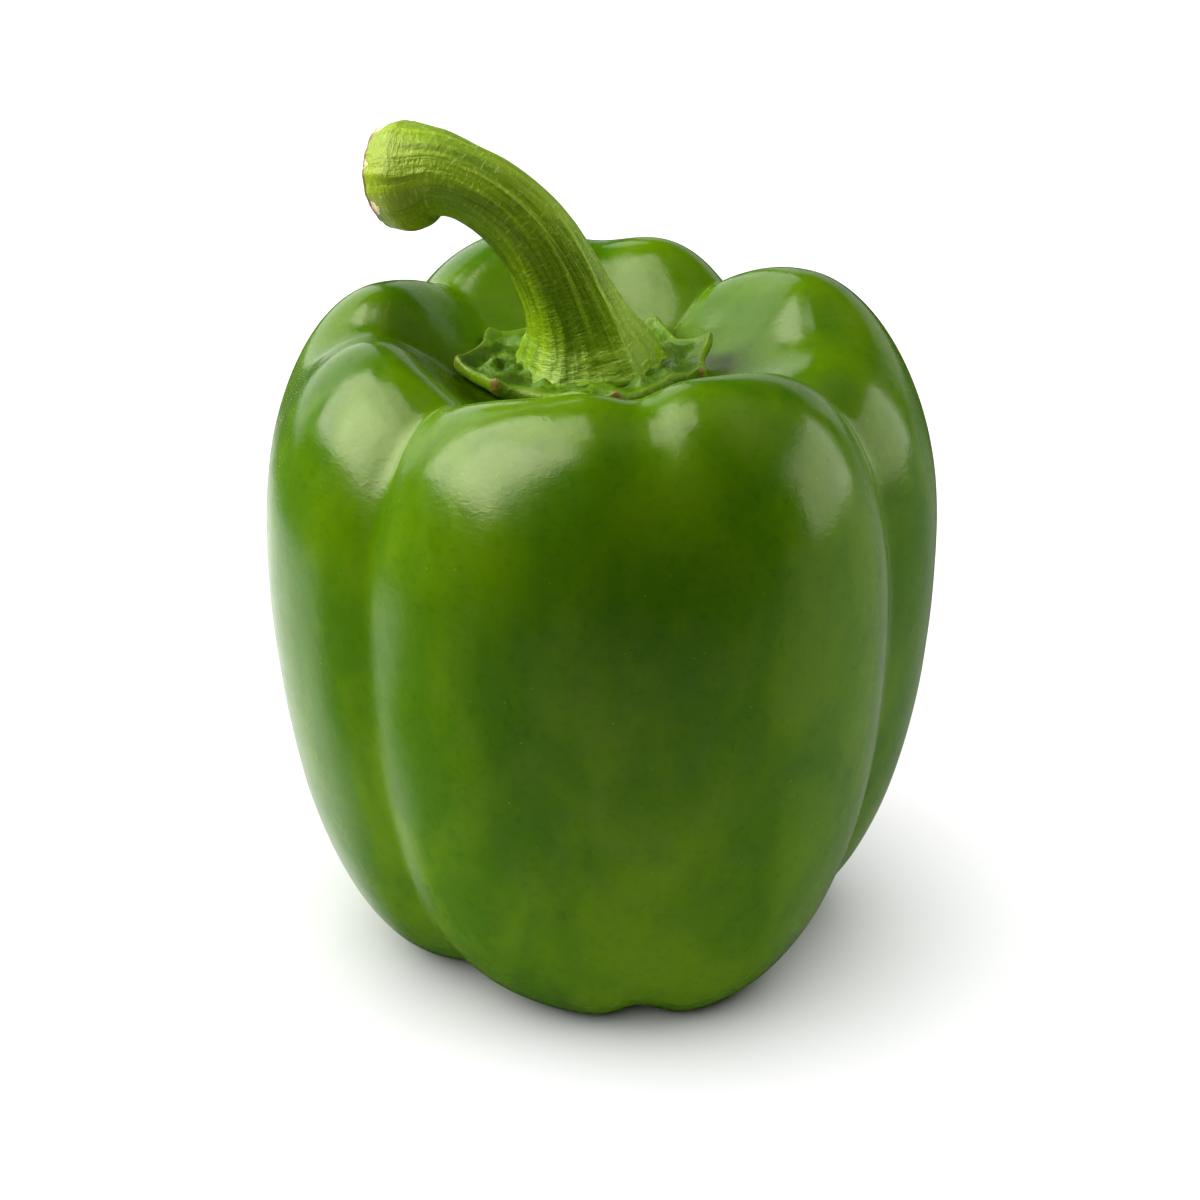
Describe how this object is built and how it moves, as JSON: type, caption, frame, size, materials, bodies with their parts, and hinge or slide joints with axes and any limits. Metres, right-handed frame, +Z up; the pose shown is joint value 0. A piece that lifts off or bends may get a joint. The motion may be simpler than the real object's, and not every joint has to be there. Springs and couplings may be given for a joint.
{
  "type": "bell pepper",
  "caption": "Whole green bell pepper with blunt lobes, a ruffled calyx in the top hollow and a curved cut stem, standing on its blossom end.",
  "frame": {"origin": "on the surface that the feet stand on, under the middle of the bounding box", "axes": "+Z up along the fruit's axis, -Y towards the broad front lobe, the stem bends towards -X"},
  "size_m": [0.0826, 0.0842, 0.1059],
  "materials": {
    "fruit_skin": "smooth waxy skin, glossy, mottled deep green",
    "calyx": "lumpy green tissue with a thin dry rim",
    "stem": "ribbed fibrous green stalk with a pale cut end"
  },
  "bodies": {
    "root": {"fruit": "fruit_skin", "calyx": "calyx", "stem": "stem"}
  },
  "joints": []
}
